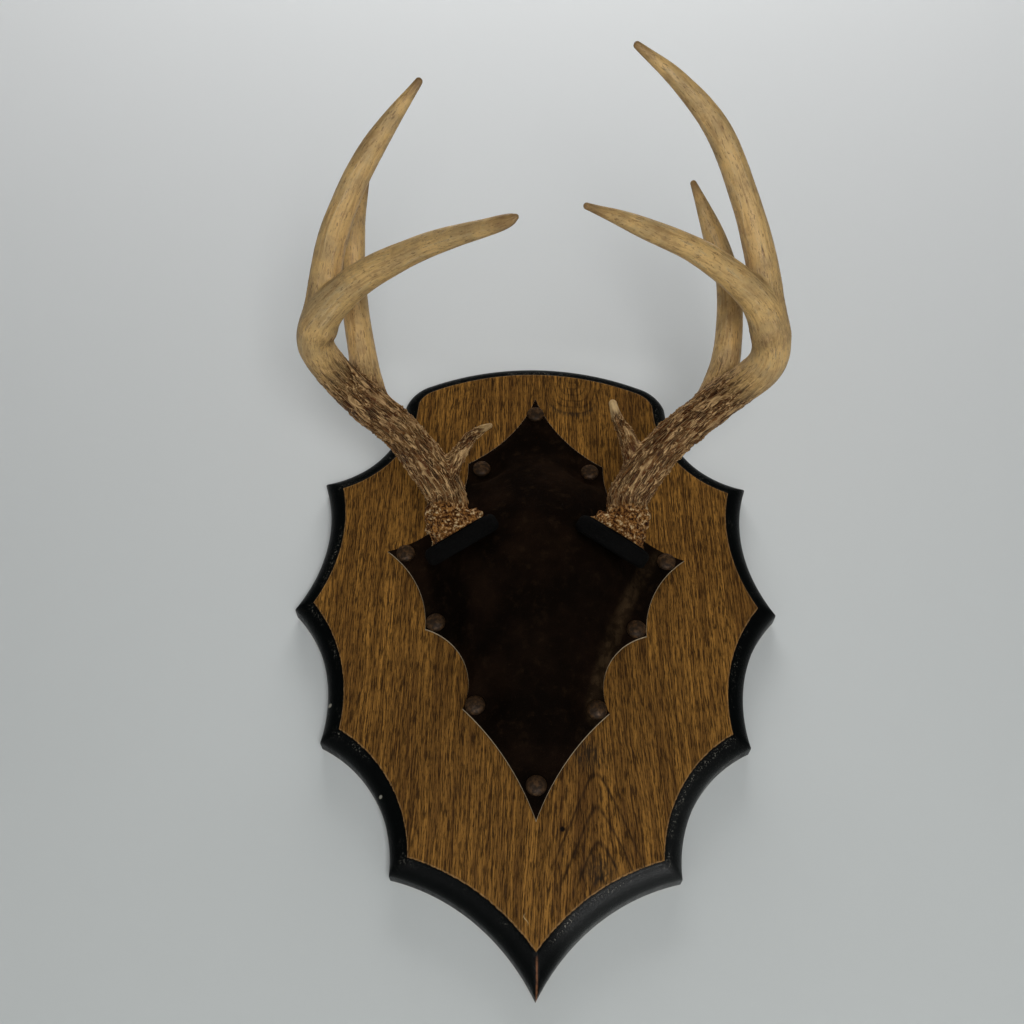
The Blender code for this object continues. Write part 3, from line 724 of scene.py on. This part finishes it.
# Each row of a branch says how far out, up and forward it goes from the collar, in hundredths
# of the reach, and its radius in beam radii. Ivory is how pale the brow tine's tip is rubbed.
BRANCHES = {
    "left": {
        "ivory": 0.2,
        "beam": (
            (4.0, 9.8, 5.8, 1.02),
            (14.6, 20.3, 16.2, 0.98),
            (29.3, 27.0, 29.0, 0.90),
            (36.0, 30.3, 43.3, 0.85),
            (25.0, 31.0, 60.5, 0.76),
            (6.8, 25.6, 77.7, 0.54),
            (-11.3, 13.2, 95.7, 0.31),
            (-15.4, 10.6, 100.0, 0.10),
        ),
        "brow_tine": (
            (4.5, 11.0, 6.5, 0.66),
            (1.2, 15.5, 10.8, 0.48),
            (-2.5, 19.0, 15.6, 0.34),
            (-5.7, 19.7, 19.3, 0.25),
            (-9.4, 18.9, 23.0, 0.10),
        ),
        "second_tine": (
            (23.0, 25.0, 21.5, 0.85),
            (25.8, 36.5, 28.8, 0.72),
            (28.3, 50.6, 39.5, 0.63),
            (28.0, 63.0, 51.0, 0.52),
            (24.3, 71.2, 60.5, 0.12),
        ),
        "third_tine": (
            (34.5, 30.5, 46.5, 0.82),
            (31.2, 41.0, 61.0, 0.70),
            (26.6, 48.5, 71.2, 0.62),
            (19.2, 57.0, 81.5, 0.53),
            (7.6, 67.8, 92.7, 0.16),
        ),
    },
    "right": {
        "ivory": 1.0,
        "beam": (
            (3.4, 9.4, 6.0, 1.04),
            (12.4, 18.9, 15.0, 0.98),
            (24.6, 24.5, 25.8, 0.92),
            (35.8, 26.4, 41.6, 0.90),
            (31.2, 31.2, 56.2, 0.78),
            (16.3, 31.8, 70.4, 0.60),
            (-2.0, 26.5, 84.5, 0.40),
            (-14.8, 20.6, 94.8, 0.12),
        ),
        "brow_tine": (
            (5.8, 12.5, 7.5, 0.66),
            (4.4, 17.2, 10.5, 0.54),
            (1.7, 21.0, 16.5, 0.41),
            (-0.9, 23.4, 20.9, 0.28),
            (-2.5, 26.8, 24.6, 0.18),
        ),
        "second_tine": (
            (24.0, 25.5, 23.5, 0.86),
            (28.2, 37.3, 30.5, 0.72),
            (28.6, 52.0, 41.0, 0.61),
            (24.3, 62.2, 49.8, 0.54),
            (17.6, 73.0, 60.1, 0.14),
        ),
        "third_tine": (
            (35.0, 28.5, 49.0, 0.84),
            (31.6, 38.5, 62.0, 0.72),
            (26.6, 49.5, 73.0, 0.64),
            (19.2, 60.1, 84.5, 0.58),
            (9.2, 67.0, 93.0, 0.42),
            (-1.8, 71.8, 99.6, 0.14),
        ),
    },
}


def smooth_path(rows, steps):
    """A Catmull-Rom curve through rows of (x, y, z, radius), as one array of points."""
    rows = np.vstack((2 * rows[0] - rows[1], rows, 2 * rows[-1] - rows[-2]))
    a, b, c, d = (rows[i : len(rows) - 3 + i, None] for i in range(4))
    t = np.linspace(0, 1, steps, endpoint=False)[None, :, None]
    bend = (2 * a - 5 * b + 4 * c - d) * t ** 2 + (3 * b - a - 3 * c + d) * t ** 3
    curve = (b + ((c - a) * t + bend) / 2).reshape(-1, rows.shape[1])
    return np.vstack((curve, rows[-2]))


def walked_to(points):
    """How far has been walked along a line of points, at each of them."""
    gaps = np.linalg.norm(np.diff(points, axis=0), axis=1)
    return np.concatenate(((0.0,), np.cumsum(gaps)))


class Branch:
    """A beam or tine: points along its middle with a radius, and an untwisted pair of sides.

    The path stops short of its last row by the radius there, which leaves room for the dome.
    """

    def __init__(self, rows, first_side, round_start=True):
        path = smooth_path(rows, 30)
        self.round_start = round_start
        walked = walked_to(path[:, :3])
        path = path[walked <= walked[-1] - path[-1, 3]]
        self.middle, self.radius = path[:, :3], path[:, 3]
        steps = np.gradient(self.middle, axis=0)
        self.tangent = steps / np.linalg.norm(steps, axis=1, keepdims=True)
        self.walked = walked_to(self.middle)
        side, sides = first_side, []
        for tangent in self.tangent:
            side = side - tangent * side.dot(tangent)
            side = side / np.linalg.norm(side)
            sides.append(side)
        self.across = np.array(sides)
        self.over = np.cross(self.tangent, self.across)

    def tube(self, around=20):
        """Rings round the middle line at its radius, then a dome: r cos t wide, r sin t ahead."""
        turn = np.linspace(0, 2 * math.pi, around, endpoint=False)[None, :, None]
        out = self.across[:, None] * np.cos(turn) + self.over[:, None] * np.sin(turn)
        rise = np.radians((20, 40, 60, 80))[:, None, None]
        tip = out[-1] * np.cos(rise) + self.tangent[-1] * np.sin(rise)
        root = out[0] * np.cos(rise[::-1]) - self.tangent[0] * np.sin(rise[::-1])
        rings = [self.middle[0] + root * self.radius[0]] if self.round_start else []
        rings += [self.middle[:, None] + out * self.radius[:, None, None]]
        rings += [self.middle[-1] + tip * self.radius[-1]]
        return np.concatenate(rings)

    def nearest(self, points):
        """For each point: its height over the skin, way along, offset and nearest place.

        The points go through in slices, which keeps the table of distances small.
        """
        found = np.empty(len(points), dtype=np.int64)
        slice_length = 20000
        for start in range(0, len(points), slice_length):
            part = slice(start, start + slice_length)
            square = (points[part] ** 2).sum(1)[:, None] + (self.middle ** 2).sum(1)
            square = square - 2 * points[part] @ self.middle.T
            found[part] = np.argmin(np.sqrt(np.maximum(square, 0)) - self.radius, axis=1)
        offset = points - self.middle[found]
        ahead = np.einsum("ij,ij->i", offset, self.tangent[found])
        length = np.linalg.norm(offset, axis=1)
        return length - self.radius[found], self.walked[found] + ahead, offset, found


def join(branches):
    """One closed mesh over all the tubes, by a voxel remesh."""
    tubes = bmesh.new()
    for branch in branches:
        part = skin("branch", branch.tube(), bone.made)
        tubes.from_mesh(part.data)
        bpy.data.objects.remove(part)
    mesh = bpy.data.meshes.new("tubes")
    tubes.to_mesh(mesh)
    tubes.free()
    lump = bpy.data.objects.new("lump", mesh)
    bpy.context.scene.collection.objects.link(lump)
    remesh = lump.modifiers.new("join", "REMESH")
    remesh.mode = "VOXEL"
    remesh.voxel_size = VOXEL
    shape = bpy.data.meshes.new_from_object(lump.evaluated_get(bpy.context.evaluated_depsgraph_get()))
    bpy.data.objects.remove(lump)
    return shape


def ridges(flow, width, length, seed):
    """Thin winding ridges, e^-(v / 0.13)^2, where a stretched and bent noise v crosses 0."""
    bend = lattice_noise(flow / (0.006, 0.006, 0.007), seed + 100)[:, None] * (0.6, 0.6, 0.0)
    value = lattice_noise(flow / (width, width, length) + bend, seed)
    return np.exp(-(value / 0.13) ** 2)


def root_place(side):
    """Where an antler's flat root stands, a hair above its collar."""
    centre, axis, _, _ = pedicle(side)
    return centre + axis * (PAD_HEIGHT / 2 + JOINT_GAP)


def antler_rows(side, rows):
    """Rows in hundredths of the reach, put in the model as (x, y, z, radius) in metres."""
    rows = np.array(rows)
    step = ANTLER_REACH / 100
    place = root_place(side) + np.stack((side * rows[:, 0], -rows[:, 2], rows[:, 1]), axis=1) * step
    return np.hstack((place, rows[:, 3:] * BEAM_RADIUS))


bone = Finish("antler_bone")


def antler(name, side):
    """Join the branches, move each point onto their blended skin, then carve the relief.

    The skin is where -k ln(sum of e^(-d / k)) is 0, with d the height over each branch. A
    point's flow is its place on a branch straightened out, which the ridges follow.
    """
    _, axis, across, _ = pedicle(side)
    base = root_place(side)
    root = np.hstack((
        np.array((base, base + axis * BURR_HEIGHT)), np.full((2, 1), ROOT_SWELL * BEAM_RADIUS)
    ))
    kinds = ("beam", "brow_tine", "second_tine", "third_tine")
    branches = []
    for kind in kinds:
        rows = antler_rows(side, BRANCHES[name][kind])
        if kind == "beam":
            rows = np.vstack((root, rows))
        branches.append(Branch(rows, across, round_start=kind != "beam"))
    mesh = join(branches)
    count = len(mesh.vertices)
    points = np.empty(count * 3)
    mesh.vertices.foreach_get("co", points)
    points = points.reshape(-1, 3)
    for _ in range(3):
        depth, outward, share = blended(branches, points)
        points = points - outward * depth[:, None]
    depth, outward, share = blended(branches, points)
    raised = np.zeros(count)
    ridged, rough, crusted, tip = (np.zeros(count) for _ in range(4))
    beam_flow = tine_flow = np.zeros((count, 3))
    tine_depth = np.full(count, np.inf)
    for k, (kind, branch) in enumerate(zip(kinds, branches)):
        own_depth, along, offset, found = branch.nearest(points)
        c = np.einsum("ij,ij->i", offset, branch.across[found])
        s = np.einsum("ij,ij->i", offset, branch.over[found])
        onto_skin = branch.radius[found] / np.maximum(np.hypot(c, s), 1e-6)
        flow = np.stack((c * onto_skin, s * onto_skin, along), axis=1) + k * 0.5
        gone = along / branch.walked[-1]
        if kind == "beam":
            strength = np.clip((0.47 - gone) / 0.24, 0.03, 1)
        elif kind == "brow_tine":
            strength = np.clip((0.98 - gone) / 0.3, 0.08, 1)
        else:
            strength = np.clip(0.35 - gone, 0.05, 1)
        wide = ridges(flow, 0.0022, 0.016, 31 + k)
        fine = ridges(flow, 0.0017, 0.010, 41 + k)
        cut = GUTTER_DEPTH - WIDE_RIDGE_HEIGHT * wide - FINE_RIDGE_HEIGHT * fine
        cut *= strength
        lift = WAVE_HEIGHT * lattice_noise(flow / (0.009, 0.009, 0.016), 51 + k) * (0.35 + strength)
        if kind == "beam":
            near_base = np.clip(1 - along / BURR_REACH, 0, 1)
            lift += BURR_FLARE * near_base ** 2.2
            knobs = lattice_noise(points / 0.0040, 61) + 0.8 * lattice_noise(points / 0.0021, 62)
            zone = np.clip((BURR_REACH - along) / PEARL_FADE, 0, 1)
            teeth = lattice_noise(points / 0.0030, 63) * np.clip(1 - along / TOOTH_REACH, 0, 1)
            lift += PEARL_HEIGHT * zone * np.clip(knobs, -0.9, 1.2) + TOOTH_HEIGHT * teeth
            cut *= 1 - 0.6 * zone
            crusted += zone * share[k]
        raised += share[k] * (lift - cut)
        ridged += share[k] * np.maximum(wide, 0.7 * fine)
        rough += share[k] * strength
        tip += share[k] * gone
        if kind == "beam":
            beam_flow = flow
        else:
            tine_flow = np.where((own_depth < tine_depth)[:, None], flow, tine_flow)
            tine_depth = np.minimum(own_depth, tine_depth)
    points = points + outward * raised[:, None]
    below = np.minimum((points - base) @ axis, 0)
    points = points - axis * below[:, None]
    mesh.vertices.foreach_set("co", points.ravel())
    record_fact(mesh, "ridge", ridged[:, None])
    record_fact(mesh, "gnarl", rough[:, None])
    record_fact(mesh, "burr", crusted[:, None])
    record_fact(mesh, "beam_flow", beam_flow)
    record_fact(mesh, "tine_flow", tine_flow)
    record_fact(mesh, "tine", 1 - share[0][:, None])
    record_fact(mesh, "ivory", share[1][:, None] * BRANCHES[name]["ivory"])
    record_fact(mesh, "gone", tip[:, None])
    mesh.materials.clear()
    return show(f"{name}_antler_bone", mesh, bone.made)


def blended(branches, points):
    """Height over the joined skin, the way out of it, and each branch's share of it."""
    found = [branch.nearest(points) for branch in branches]
    depths = np.array([f[0] for f in found])
    least = depths.min(axis=0)
    weight = np.exp(-(depths - least) / BLEND)
    total = weight.sum(axis=0)
    share = weight / total
    ways = np.array([f[2] for f in found])
    ways = ways / np.maximum(np.linalg.norm(ways, axis=2, keepdims=True), 1e-9)
    out = (share[:, :, None] * ways).sum(axis=0)
    out = out / np.maximum(np.linalg.norm(out, axis=1, keepdims=True), 1e-9)
    return least - BLEND * np.log(total), out, share


def marks(scale, detail, rough, warp=0.0):
    """A noise stretched along the beam, or along the tine where a tine's skin is nearer."""
    on_beam = bone.noise(bone.place(scale, "beam_flow"), 1.0, detail, rough, warp)
    on_tine = bone.noise(bone.place(scale, "tine_flow"), 1.0, detail, rough, warp)
    on_beam = bone.math("MULTIPLY", bone.math("SUBTRACT", 1.0, tine), on_beam)
    return bone.math("MULTIPLY_ADD", tine, on_tine, on_beam)


def lines(noise, thin, wide):
    """Thin winding lines where a noise crosses one half."""
    return bone.ramp(bone.math("ABSOLUTE", bone.math("SUBTRACT", noise, 0.5)), thin, wide, 1, 0)


tine = bone.ramp(bone.fact("tine"), 0.3, 0.7)
gnarl, burr, tip = bone.fact("gnarl"), bone.fact("burr"), bone.fact("gone")
clouds = bone.noise(bone.place(), 60, 4, 0.6)
streaks = marks((520, 520, 45), 4, 0.6, 0.4)
flecks = marks((1150, 1150, 230), 3, 0.6)
threads = lines(marks((640, 640, 72), 1, 0.5, 0.8), 0.018, 0.045)
fine_threads = lines(marks((1050, 1050, 110), 1, 0.5, 0.8), 0.020, 0.060)
strands = bone.ramp(marks((1500, 1500, 110), 3, 0.6, 0.3), 0.42, 0.56, 0.5, 1)
fading = bone.math("MULTIPLY", bone.math("SUBTRACT", 1.0, gnarl), 0.2)
ridge = bone.ramp(bone.math("ADD", bone.fact("ridge"), fading), 0.56, 0.88)
ridge = bone.math("MAXIMUM", bone.math("MULTIPLY", ridge, strands), bone.math("MULTIPLY", threads, 0.9))
ridge = bone.math("MAXIMUM", ridge, bone.math("MULTIPLY", fine_threads, 0.25))
crumbs = bone.noise(bone.place(), 460, 4, 0.7)
lumps = bone.noise(bone.place(), 190, 3, 0.6)
tan, pale, brown = paint(212, 174, 112), paint(232, 208, 160), paint(144, 108, 66)
deep, red_brown, painted_highlight_colour = paint(36, 19, 9), paint(94, 54, 26), paint(230, 206, 160)
smooth_bone = bone.layers(tan, (
    (clouds, 0.36, 0.66, 0.85, paint(172, 144, 98)),
    (lumps, 0.50, 0.70, 0.35, brown),
    (streaks, 0.54, 0.66, 0.4, pale),
    (streaks, 0.47, 0.36, 0.45, brown),
    (flecks, 0.58, 0.65, 0.6, paint(92, 64, 38)),
    (crumbs, 0.64, 0.72, 0.6, paint(104, 76, 46)),
    (tip, 0.92, 1.0, 0.6, paint(104, 74, 44)),
))
ivory = bone.math("MULTIPLY", bone.fact("ivory"), bone.ramp(tip, 0.60, 0.80))
ivory = bone.math("MULTIPLY", ivory, bone.ramp(streaks, 0.38, 0.5, 0.6, 1))
smooth_bone = bone.mix(ivory, smooth_bone, paint(198, 166, 116))
rough_bone = bone.mix(bone.ramp(clouds, 0.35, 0.7), red_brown, paint(112, 76, 40))
gutters = bone.ramp(bone.fact("ridge"), 0.46, 0.10)
gutters = bone.math("MULTIPLY", gutters, bone.ramp(flecks, 0.60, 0.42, 0.5, 1))
rough_bone = bone.mix(bone.math("MULTIPLY", gutters, 0.9), rough_bone, deep)
pale_ridges = bone.math("MULTIPLY", ridge, bone.ramp(crumbs, 0.26, 0.44))
rough_bone = bone.mix(pale_ridges, rough_bone, paint(200, 163, 114))
# The burr: its own brown runs paler up each crumb of the relief, the pale specks on the highest crumbs are
# painted highlight, and the near black in the lowest is painted shade in the pits
crust_and_painted_light = bone.mix(bone.ramp(crumbs, 0.42, 0.58), paint(84, 48, 24), paint(172, 120, 62))
pearl_highlights = bone.math("MULTIPLY", bone.ramp(crumbs, 0.52, 0.62), bone.ramp(lumps, 0.42, 0.56))
crust_and_painted_light = bone.mix(pearl_highlights, crust_and_painted_light, painted_highlight_colour)
crust_and_painted_light = bone.mix(bone.ramp(crumbs, 0.44, 0.37), crust_and_painted_light, paint(26, 14, 8))
fingers = bone.math("MULTIPLY_ADD", bone.math("SUBTRACT", streaks, 0.5), 1.4, gnarl)
colour = bone.mix(bone.ramp(fingers, 0.08, 0.50), smooth_bone, rough_bone)
colour = bone.mix(bone.ramp(burr, 0.25, 0.75), colour, crust_and_painted_light)
height = bone.mix(bone.ramp(gnarl, 0.05, 0.5), streaks, ridge)
height = bone.mix(bone.ramp(burr, 0.25, 0.7), height, bone.math("MULTIPLY", crumbs, 3.0))
bone.coat(
    Base_Color=colour,
    Roughness=bone.ramp(clouds, 0.3, 0.7, 0.42, 0.58),
    Specular_IOR_Level=bone.ramp(gnarl, 0.05, 0.5, 0.4, 0.08),
    Normal=bone.relief(height, 0.0010),
)

for side, name in ((-1, "left"), (1, "right")):
    piece = antler(name, side)
    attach(piece, "root")
    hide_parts(f"{name}_antler")


# Studio: a pale wall just behind the plaque that can be seen through from behind, painted
# paler toward the top as painted light, a pale floor below, a soft light low beside the camera,
# a wide one above that washes the wall and a weak one behind.
def plain(name, shaded_low_colour, lit_high_colour, see_through_back=False):
    """A matt finish, painted paler up the wall as painted light, clear where its back is seen or a shadow
    ray passes.
    """
    made = Finish(name)
    level = made.nodes.new("ShaderNodeSeparateXYZ")
    made.links.new(made.place(), level.inputs[0])
    # The colour goes from the low one to the high one up the wall: painted light, brighter toward the top
    height = made.ramp(level.outputs["Z"], -0.35, 0.60)
    made.coat(Base_Color=made.mix(height, shaded_low_colour, lit_high_colour), Roughness=0.9)
    if see_through_back:
        clear = made.nodes.new("ShaderNodeBsdfTransparent")
        mixed = made.nodes.new("ShaderNodeMixShader")
        behind = made.nodes.new("ShaderNodeNewGeometry").outputs["Backfacing"]
        shadow = made.nodes.new("ShaderNodeLightPath").outputs["Is Shadow Ray"]
        made.links.new(made.math("MAXIMUM", behind, shadow), mixed.inputs["Fac"])
        made.links.new(made.shader.outputs["BSDF"], mixed.inputs[1])
        made.links.new(clear.outputs["BSDF"], mixed.inputs[2])
        made.links.new(mixed.outputs["Shader"], made.nodes["Material Output"].inputs["Surface"])
    return made.made


def sheet(name, corners, finish):
    """A flat four-sided stage piece."""
    mesh = bpy.data.meshes.new(name)
    mesh.from_pydata(corners, [], [(0, 1, 2, 3)])
    mesh.materials.append(finish)
    piece = bpy.data.objects.new(name, mesh)
    bpy.context.scene.collection.objects.link(piece)


WALL_Y = 0.0006
FLOOR_Z = -0.9
ROOM = 3
sheet(
    "wall",
    [(-ROOM, WALL_Y, FLOOR_Z), (ROOM, WALL_Y, FLOOR_Z), (ROOM, WALL_Y, ROOM), (-ROOM, WALL_Y, ROOM)],
    plain("wall_paint_with_painted_light", paint(206, 210, 209), paint(246, 248, 248), see_through_back=True),
)
sheet(
    "floor",
    [(-ROOM, -ROOM, FLOOR_Z), (ROOM, -ROOM, FLOOR_Z), (ROOM, ROOM, FLOOR_Z), (-ROOM, ROOM, FLOOR_Z)],
    plain("floor_paint", paint(215, 217, 216), paint(215, 217, 216)),
)


def soft_light(name, place, target, size, power, in_gloss=True):
    """A square area light turned toward a point, left out of reflections if told."""
    light = bpy.data.lights.new(name, "AREA")
    light.shape = "SQUARE"
    light.size = size
    light.energy = power
    lamp = bpy.data.objects.new(name, light)
    lamp.location = place
    lamp.rotation_euler = (Vector(target) - Vector(place)).to_track_quat("-Z", "Y").to_euler()
    lamp.visible_glossy = in_gloss
    bpy.context.scene.collection.objects.link(lamp)


soft_light("key", (0.12, -1.05, -0.66), (0, -0.08, 0.02), 0.35, 5.6)
soft_light("wall_wash", (0.0, -0.45, 2.0), (0, 0, 1.0), 1.4, 39, in_gloss=False)
soft_light("back_fill", (0.3, 1.3, 0.6), (0, 0, 0), 1.2, 4)

# The sky lights the object faintly, and is pale where it shows beyond the wall
world = bpy.data.worlds.new("studio")
world.use_nodes = True
sky = world.node_tree.nodes["Background"]
sky.inputs["Color"].default_value = (*paint(236, 238, 240), 1.0)
seen = world.node_tree.nodes.new("ShaderNodeLightPath").outputs["Is Camera Ray"]
glow = world.node_tree.nodes.new("ShaderNodeMapRange")
world.node_tree.links.new(seen, glow.inputs["Value"])
glow.inputs["To Min"].default_value = 0.09
glow.inputs["To Max"].default_value = 0.60
world.node_tree.links.new(glow.outputs["Result"], sky.inputs["Strength"])
bpy.context.scene.world = world
bpy.context.scene.view_settings.view_transform = "Standard"


# Camera: below the plaque and looking up at it, as in the photograph.
CAMERA_PLACE = Vector((-0.01534, -0.6242, -0.4082))
CAMERA_LOOKS = Vector((-0.00145, 0.82904, 0.55919))
CAMERA_ROLL = math.radians(0.79)
lens = bpy.data.cameras.new("camera")
lens.lens = 36.914
lens.sensor_width = 36.0
camera = bpy.data.objects.new("camera", lens)
ahead = CAMERA_LOOKS.normalized()
right = ahead.cross(Vector((0, 0, 1))).normalized()
up = right.cross(ahead)
turned_right = right * math.cos(CAMERA_ROLL) + up * math.sin(CAMERA_ROLL)
turned_up = up * math.cos(CAMERA_ROLL) - right * math.sin(CAMERA_ROLL)
turned = Matrix((turned_right, turned_up, -ahead)).transposed().to_4x4()
camera.matrix_world = Matrix.Translation(CAMERA_PLACE) @ turned
bpy.context.scene.collection.objects.link(camera)
bpy.context.scene.camera = camera
